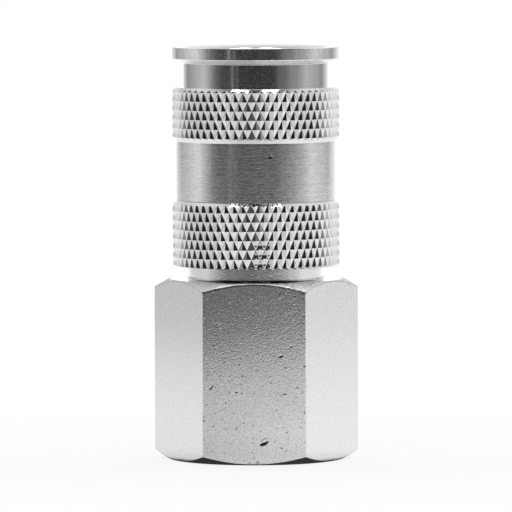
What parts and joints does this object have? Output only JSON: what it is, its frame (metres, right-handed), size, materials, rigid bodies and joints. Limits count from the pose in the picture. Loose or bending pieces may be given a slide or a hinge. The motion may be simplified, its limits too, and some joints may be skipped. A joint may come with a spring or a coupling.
{
  "type": "quick coupling socket",
  "caption": "Quick coupling socket for compressed air: hexagon with a female pipe thread, knurled release sleeve that slides back and turns, ball lock and shut-off valve inside.",
  "frame": {"origin": "on the axis at the hexagon's end face, which the part stands on", "axes": "+Z along the axis from the pipe thread to the plug's mouth, -Y out of one flat of the hexagon"},
  "size_m": [0.0278, 0.024, 0.056],
  "materials": {
    "nickel_plate": "satin",
    "bare_brass": "satin",
    "spring_steel": "satin",
    "ball_steel": "polished",
    "black_rubber": "satin"
  },
  "bodies": {
    "housing": {"hex_body": "nickel_plate", "nose_body": "nickel_plate", "snap_ring": "spring_steel", "plug_seal": "black_rubber", "body_seal": "black_rubber", "valve_spring": "spring_steel"},
    "sleeve_carriage": {"sleeve_spring": "spring_steel"},
    "release_sleeve": {"sleeve": "nickel_plate"},
    "valve": {"poppet": "bare_brass", "poppet_seal": "black_rubber"},
    "ball_1": {"locking_ball_1": "ball_steel"},
    "ball_2": {"locking_ball_2": "ball_steel"},
    "ball_3": {"locking_ball_3": "ball_steel"},
    "ball_4": {"locking_ball_4": "ball_steel"},
    "ball_5": {"locking_ball_5": "ball_steel"},
    "ball_6": {"locking_ball_6": "ball_steel"},
    "ball_7": {"locking_ball_7": "ball_steel"},
    "ball_8": {"locking_ball_8": "ball_steel"},
    "ball_9": {"locking_ball_9": "ball_steel"},
    "ball_10": {"locking_ball_10": "ball_steel"}
  },
  "joints": [
    {"name": "sleeve_slide", "type": "slide", "parent": "housing", "child": "sleeve_carriage", "axis": [0, 0, -1], "range_m": [0, 0.0017], "stiffness_N_per_m": 2000, "springref_m": -0.005, "deforming": ["sleeve_spring"]},
    {"name": "sleeve_turn", "type": "hinge", "parent": "sleeve_carriage", "child": "release_sleeve", "pos_m": [0, 0, 0.041], "axis": [0, 0, 1], "continuous": true},
    {"name": "poppet_slide", "type": "slide", "parent": "housing", "child": "valve", "axis": [0, 0, -1], "range_m": [0, 0.006], "stiffness_N_per_m": 800, "springref_m": -0.005, "deforming": ["valve_spring"]},
    {"name": "ball_1_shift", "type": "slide", "parent": "housing", "child": "ball_1", "axis": [0.9511, 0.309, 0], "range_m": [0, 0.001]},
    {"name": "ball_2_shift", "type": "slide", "parent": "housing", "child": "ball_2", "axis": [0.5878, 0.809, 0], "range_m": [0, 0.001]},
    {"name": "ball_3_shift", "type": "slide", "parent": "housing", "child": "ball_3", "axis": [0, 1, 0], "range_m": [0, 0.001]},
    {"name": "ball_4_shift", "type": "slide", "parent": "housing", "child": "ball_4", "axis": [-0.5878, 0.809, 0], "range_m": [0, 0.001]},
    {"name": "ball_5_shift", "type": "slide", "parent": "housing", "child": "ball_5", "axis": [-0.9511, 0.309, 0], "range_m": [0, 0.001]},
    {"name": "ball_6_shift", "type": "slide", "parent": "housing", "child": "ball_6", "axis": [-0.9511, -0.309, 0], "range_m": [0, 0.001]},
    {"name": "ball_7_shift", "type": "slide", "parent": "housing", "child": "ball_7", "axis": [-0.5878, -0.809, 0], "range_m": [0, 0.001]},
    {"name": "ball_8_shift", "type": "slide", "parent": "housing", "child": "ball_8", "axis": [0, -1, 0], "range_m": [0, 0.001]},
    {"name": "ball_9_shift", "type": "slide", "parent": "housing", "child": "ball_9", "axis": [0.5878, -0.809, 0], "range_m": [0, 0.001]},
    {"name": "ball_10_shift", "type": "slide", "parent": "housing", "child": "ball_10", "axis": [0.9511, -0.309, 0], "range_m": [0, 0.001]}
  ],
  "couplings": [
    {"joint": "ball_1_shift", "follows": "sleeve_slide", "ratio": 0.57735},
    {"joint": "ball_2_shift", "follows": "sleeve_slide", "ratio": 0.57735},
    {"joint": "ball_3_shift", "follows": "sleeve_slide", "ratio": 0.57735},
    {"joint": "ball_4_shift", "follows": "sleeve_slide", "ratio": 0.57735},
    {"joint": "ball_5_shift", "follows": "sleeve_slide", "ratio": 0.57735},
    {"joint": "ball_6_shift", "follows": "sleeve_slide", "ratio": 0.57735},
    {"joint": "ball_7_shift", "follows": "sleeve_slide", "ratio": 0.57735},
    {"joint": "ball_8_shift", "follows": "sleeve_slide", "ratio": 0.57735},
    {"joint": "ball_9_shift", "follows": "sleeve_slide", "ratio": 0.57735},
    {"joint": "ball_10_shift", "follows": "sleeve_slide", "ratio": 0.57735}
  ]
}
